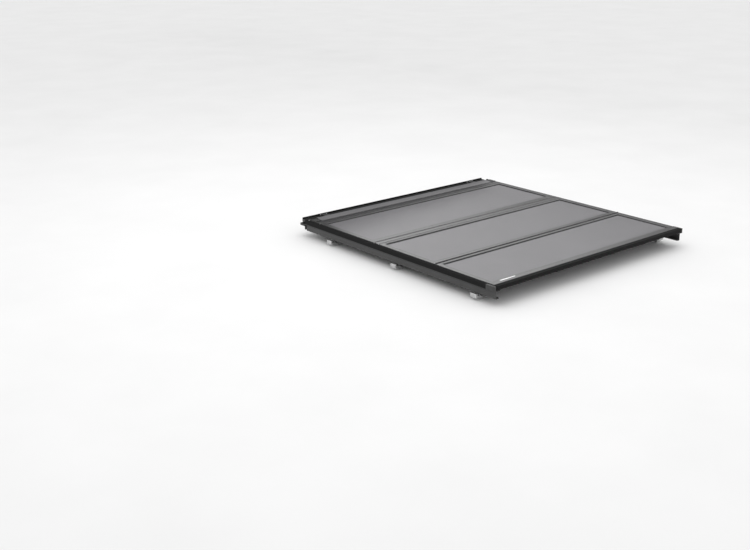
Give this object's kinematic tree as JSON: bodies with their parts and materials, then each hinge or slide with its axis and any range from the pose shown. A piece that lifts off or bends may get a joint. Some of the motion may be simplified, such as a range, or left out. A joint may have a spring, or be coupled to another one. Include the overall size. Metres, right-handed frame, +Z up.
{
  "type": "tonneau cover",
  "caption": "Hard folding tonneau cover with framed rigid panels, a double hinge, a fixed front header, side rails with clamps, slam latches and prop rods.",
  "frame": {"origin": "centre of the footprint, on the surface that the clamp screws' heads stand on", "axes": "+X to the truck's right, +Y towards the cab, +Z up"},
  "size_m": [1.64, 1.705, 0.1258],
  "materials": {
    "frame_coat": "satin",
    "cover_strip": "satin",
    "skin": "matte",
    "core": "matte",
    "black_plastic": "matte",
    "rail_coat": "satin",
    "rubber": "matte",
    "foam_tape": "matte",
    "clamp_metal": "satin",
    "steel": "satin",
    "rod_coat": "satin",
    "webbing": "matte",
    "badge": "satin"
  },
  "bodies": {
    "root": {"rail_left": "rail_coat", "rail_right": "rail_coat", "rail_weather_seals": "rubber", "rail_side_seals": "rubber", "rail_seat_tapes": "foam_tape", "rail_end_caps": "black_plastic", "latch_strike_plates": "steel", "clamp_hooks": "clamp_metal", "clamp_screws": "steel", "header_beam": "frame_coat", "header_cover": "cover_strip", "header_end_caps": "black_plastic", "header_foot_seals": "rubber", "header_flange_mat": "rubber", "header_bolts": "steel", "drain_corners": "black_plastic", "front_hinge_pin": "steel", "buckle_brackets": "steel", "prop_rod_keepers": "black_plastic"},
    "panel_1": {"panel_1_end_frames": "frame_coat", "panel_1_side_frames": "frame_coat", "panel_1_skins": "skin", "panel_1_core": "core", "panel_1_corner_caps": "black_plastic", "prop_rod_brackets": "rod_coat", "prop_rod_clips": "black_plastic"},
    "link": {"link_plate": "frame_coat", "link_hinge_pins": "steel"},
    "panel_2": {"panel_2_end_frames": "frame_coat", "panel_2_side_frames": "frame_coat", "panel_2_skins": "skin", "panel_2_core": "core", "panel_2_corner_caps": "black_plastic", "rear_hinge_pin": "steel", "buckle_straps": "webbing", "male_buckles": "black_plastic"},
    "panel_3": {"panel_3_front_frame": "frame_coat", "panel_3_rear_frame": "frame_coat", "panel_3_side_frames": "frame_coat", "panel_3_skins": "skin", "panel_3_core": "core", "panel_3_corner_caps": "black_plastic", "latch_housings": "black_plastic", "latch_springs": "steel", "release_cable": "rubber", "cable_clips": "black_plastic", "tailgate_seal": "rubber", "badge_plate": "badge"},
    "prop_left": {"prop_rod_left": "rod_coat"},
    "prop_right": {"prop_rod_right": "rod_coat"},
    "bolt_left": {"latch_bolt_left": "steel"},
    "bolt_right": {"latch_bolt_right": "steel"},
    "buckle_l": {"buckle_left": "black_plastic"},
    "buckle_r": {"buckle_right": "black_plastic"},
    "jaw_left_rear": {"clamp_jaw_left_rear": "clamp_metal"},
    "jaw_left_middle": {"clamp_jaw_left_middle": "clamp_metal"},
    "jaw_left_front": {"clamp_jaw_left_front": "clamp_metal"},
    "jaw_right_rear": {"clamp_jaw_right_rear": "clamp_metal"},
    "jaw_right_middle": {"clamp_jaw_right_middle": "clamp_metal"},
    "jaw_right_front": {"clamp_jaw_right_front": "clamp_metal"}
  },
  "joints": [
    {"name": "front_hinge", "type": "hinge", "parent": "root", "child": "panel_1", "pos_m": [0, 0.6665, 0.114], "axis": [-1, 0, 0], "range_deg": [0, 90]},
    {"name": "link_front_hinge", "type": "hinge", "parent": "panel_1", "child": "link", "pos_m": [0, 0.1435, 0.114], "axis": [-1, 0, 0], "range_deg": [0, 90]},
    {"name": "link_rear_hinge", "type": "hinge", "parent": "link", "child": "panel_2", "pos_m": [0, 0.1025, 0.114], "axis": [-1, 0, 0], "range_deg": [0, 90]},
    {"name": "rear_hinge", "type": "hinge", "parent": "panel_2", "child": "panel_3", "pos_m": [0, -0.3775, 0.119], "axis": [-1, 0, 0], "range_deg": [0, 180]},
    {"name": "latch_left", "type": "slide", "parent": "panel_3", "child": "bolt_left", "axis": [-1, 0, 0], "range_m": [0, 0.012]},
    {"name": "latch_right", "type": "slide", "parent": "panel_3", "child": "bolt_right", "axis": [1, 0, 0], "range_m": [0, 0.012]},
    {"name": "prop_rod_swing_left", "type": "hinge", "parent": "panel_1", "child": "prop_left", "pos_m": [-0.735, 0.4665, 0.082], "axis": [1, 0, 0], "range_deg": [0, 149.32]},
    {"name": "buckle_swing_left", "type": "hinge", "parent": "root", "child": "buckle_l", "pos_m": [-0.656, 0.8225, 0.1155], "axis": [-1, 0, 0], "range_deg": [0, 100]},
    {"name": "clamp_left_rear_slide", "type": "slide", "parent": "root", "child": "jaw_left_rear", "axis": [0, 0, 1], "range_m": [0, 0.012]},
    {"name": "clamp_left_middle_slide", "type": "slide", "parent": "root", "child": "jaw_left_middle", "axis": [0, 0, 1], "range_m": [0, 0.012]},
    {"name": "clamp_left_front_slide", "type": "slide", "parent": "root", "child": "jaw_left_front", "axis": [0, 0, 1], "range_m": [0, 0.012]},
    {"name": "prop_rod_swing_right", "type": "hinge", "parent": "panel_1", "child": "prop_right", "pos_m": [0.735, 0.4665, 0.082], "axis": [1, 0, 0], "range_deg": [0, 149.32]},
    {"name": "buckle_swing_right", "type": "hinge", "parent": "root", "child": "buckle_r", "pos_m": [0.656, 0.8225, 0.1155], "axis": [-1, 0, 0], "range_deg": [0, 100]},
    {"name": "clamp_right_rear_slide", "type": "slide", "parent": "root", "child": "jaw_right_rear", "axis": [0, 0, 1], "range_m": [0, 0.012]},
    {"name": "clamp_right_middle_slide", "type": "slide", "parent": "root", "child": "jaw_right_middle", "axis": [0, 0, 1], "range_m": [0, 0.012]},
    {"name": "clamp_right_front_slide", "type": "slide", "parent": "root", "child": "jaw_right_front", "axis": [0, 0, 1], "range_m": [0, 0.012]}
  ],
  "couplings": [
    {"joint": "latch_right", "follows": "latch_left", "ratio": 1}
  ]
}
